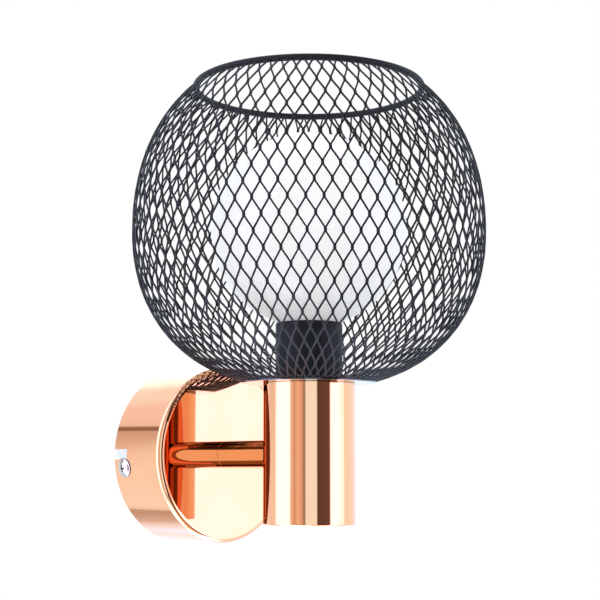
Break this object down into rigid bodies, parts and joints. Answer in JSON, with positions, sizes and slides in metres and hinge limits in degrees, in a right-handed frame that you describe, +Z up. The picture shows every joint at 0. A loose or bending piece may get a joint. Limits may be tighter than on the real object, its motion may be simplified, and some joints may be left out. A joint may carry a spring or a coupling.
{
  "type": "mesh shade wall lamp",
  "caption": "Wall lamp with a round copper cup, short arm, upright copper lamp cup, opal globe lamp and a black expanded-metal globe shade open at the top.",
  "frame": {"origin": "on the arm's axis in the wall plane, at the centre of the bracket's two wall-screw holes", "axes": "+Z up, +Y into the wall, +X to the right when one faces the wall; the lamp stands out toward -Y"},
  "size_m": [0.2148, 0.2249, 0.2809],
  "materials": {
    "copper": "mirror polished copper plating",
    "black_satin": "satin powder coat",
    "black_gloss": "gloss paint",
    "black_plastic": "fine satin",
    "ivory_plastic": "moulded",
    "zinc": "zinc plated",
    "bright_screw": "nickel plated",
    "brass": "bright",
    "opal": "opal, smooth",
    "white_plastic": "smooth",
    "cap_metal": "bright",
    "black_glass": "glossy",
    "white_board": "solder mask",
    "led_yellow": "phosphor",
    "green_board": "solder mask",
    "driver_grey": "moulded",
    "brown_wire": "insulation",
    "blue_wire": "insulation",
    "earth_wire": "insulation"
  },
  "bodies": {
    "bracket": {"mounting_bracket": "zinc", "cup_screw_left": "bright_screw", "cup_screw_right": "bright_screw", "earth_screw": "bright_screw", "earth_washer": "zinc"},
    "lamp": {"wall_cup": "copper", "carrier_plate": "zinc", "terminal_block": "ivory_plastic", "terminal_tubes": "brass", "terminal_screws": "bright_screw", "block_screw": "bright_screw", "arm_rod": "brass", "toothed_washer": "zinc", "rear_nut": "brass", "arm_tube": "copper", "saddle_washer": "zinc", "front_nut": "brass", "lamp_cup": "copper", "holder_bracket": "zinc", "nipple": "brass", "nipple_nut": "brass", "nipple_washer": "zinc", "holder_base": "black_plastic", "holder_insert": "ivory_plastic", "thread_shell": "brass", "centre_contact": "brass", "side_contact": "brass", "holder_terminals": "brass", "holder_screws": "bright_screw", "holder_skirt": "black_plastic", "shade_disc": "black_gloss", "shade_mesh": "black_satin", "shade_rim": "black_satin", "live_wire": "brown_wire", "neutral_wire": "blue_wire", "earth_wire": "earth_wire", "earth_lug": "zinc"},
    "bulb_lift": {"bulb_tip": "cap_metal"},
    "bulb": {"bulb_globe": "opal", "bulb_collar": "white_plastic", "bulb_cap": "cap_metal", "bulb_insulator": "black_glass", "led_board": "white_board", "led_chips": "led_yellow", "driver_board": "green_board", "driver_parts": "driver_grey"}
  },
  "joints": [
    {"name": "cup_twist", "type": "hinge", "parent": "bracket", "child": "lamp", "pos_m": [0, 0, 0], "axis": [0, -1, 0], "range_deg": [0, 8.8]},
    {"name": "bulb_rise", "type": "slide", "parent": "lamp", "child": "bulb_lift", "axis": [0, 0, 1], "range_m": [0, 0.01815]},
    {"name": "bulb_turn", "type": "hinge", "parent": "bulb_lift", "child": "bulb", "pos_m": [0, -0.1175, 0], "axis": [0, 0, 1], "range_deg": [0, 1800]}
  ],
  "couplings": [
    {"joint": "bulb_rise", "follows": "bulb_turn", "m_per_rad": 0.00057757}
  ]
}
